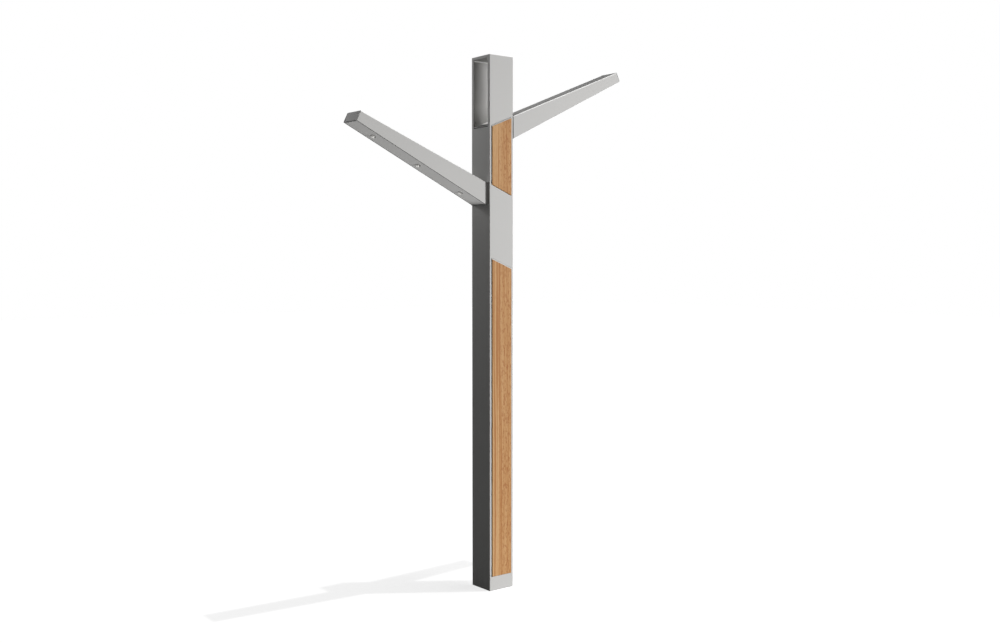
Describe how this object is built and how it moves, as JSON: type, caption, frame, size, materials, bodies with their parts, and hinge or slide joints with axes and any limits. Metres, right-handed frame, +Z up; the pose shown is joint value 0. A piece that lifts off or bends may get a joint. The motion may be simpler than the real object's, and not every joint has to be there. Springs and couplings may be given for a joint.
{
  "type": "public misting post",
  "caption": "Square metal misting post with wooden front boards, a window through its head, two rising tapered arms with fog nozzles underneath and a rear service door.",
  "frame": {"origin": "centre of the foot plate's underside, on the post's axis", "axes": "+Z up along the post, -Y out of the face with the wooden boards, +X towards the higher arm"},
  "size_m": [1.6562, 0.1639, 2.725],
  "materials": {
    "coat": "satin",
    "wood": "satin",
    "zinc": "matte",
    "stainless": "satin",
    "chrome": "polished",
    "brass": "satin",
    "black_plastic": "matte",
    "grip_plastic": "gloss",
    "rubber": "matte"
  },
  "bodies": {
    "post": {"post_tube": "coat", "top_cap": "coat", "window_sill": "coat", "left_arm_shell": "coat", "right_arm_shell": "coat", "left_arm_cover": "coat", "right_arm_cover": "coat", "post_hinge_leaves": "coat", "upper_board": "wood", "lower_board": "wood", "upper_pan": "zinc", "lower_pan": "zinc", "door_frame": "zinc", "base_plate": "zinc", "left_root_plate": "zinc", "right_root_plate": "zinc", "left_doubler": "zinc", "right_doubler": "zinc", "arm_bolts": "stainless", "arm_washers": "stainless", "cover_screws": "stainless", "left_manifold": "stainless", "right_manifold": "stainless", "manifold_plugs": "stainless", "left_nozzle_holders": "stainless", "right_nozzle_holders": "stainless", "left_nozzles": "stainless", "right_nozzles": "stainless", "orifices": "stainless", "riser_pipe": "stainless", "pipe_nipples": "stainless", "pipe_clamps": "stainless", "hinge_pins": "stainless", "strainer_screen": "stainless", "coil_nut": "stainless", "distribution_block": "brass", "feed_unions": "brass", "inlet_union": "brass", "ball_valve_body": "brass", "strainer_body": "brass", "strainer_cap": "brass", "solenoid_body": "brass", "solenoid_coil": "black_plastic", "left_feed_pipe": "stainless", "right_feed_pipe": "stainless", "door_gasket": "rubber", "nozzle_seals": "rubber", "board_adhesive": "rubber"},
    "door": {"service_door": "coat", "door_hinge_leaves": "coat", "lock_housing": "chrome", "lock_nut": "stainless"},
    "lock_core": {"lock_plug": "chrome", "lock_cam": "stainless", "cam_screw": "stainless"},
    "valve_core": {"valve_ball": "chrome", "valve_stem": "stainless", "valve_lever": "stainless", "lever_grip": "grip_plastic", "lever_nut": "stainless"}
  },
  "joints": [
    {"name": "door_hinge", "type": "hinge", "parent": "post", "child": "door", "pos_m": [0.047, 0.0794, 0.525], "axis": [0, 0, -1], "range_deg": [0, 110]},
    {"name": "lock_turn", "type": "hinge", "parent": "door", "child": "lock_core", "pos_m": [-0.026, 0.07, 0.525], "axis": [0, 1, 0], "range_deg": [0, 90]},
    {"name": "valve_turn", "type": "hinge", "parent": "post", "child": "valve_core", "pos_m": [0, 0.03, 0.365], "axis": [0, 1, 0], "range_deg": [0, 90]}
  ]
}
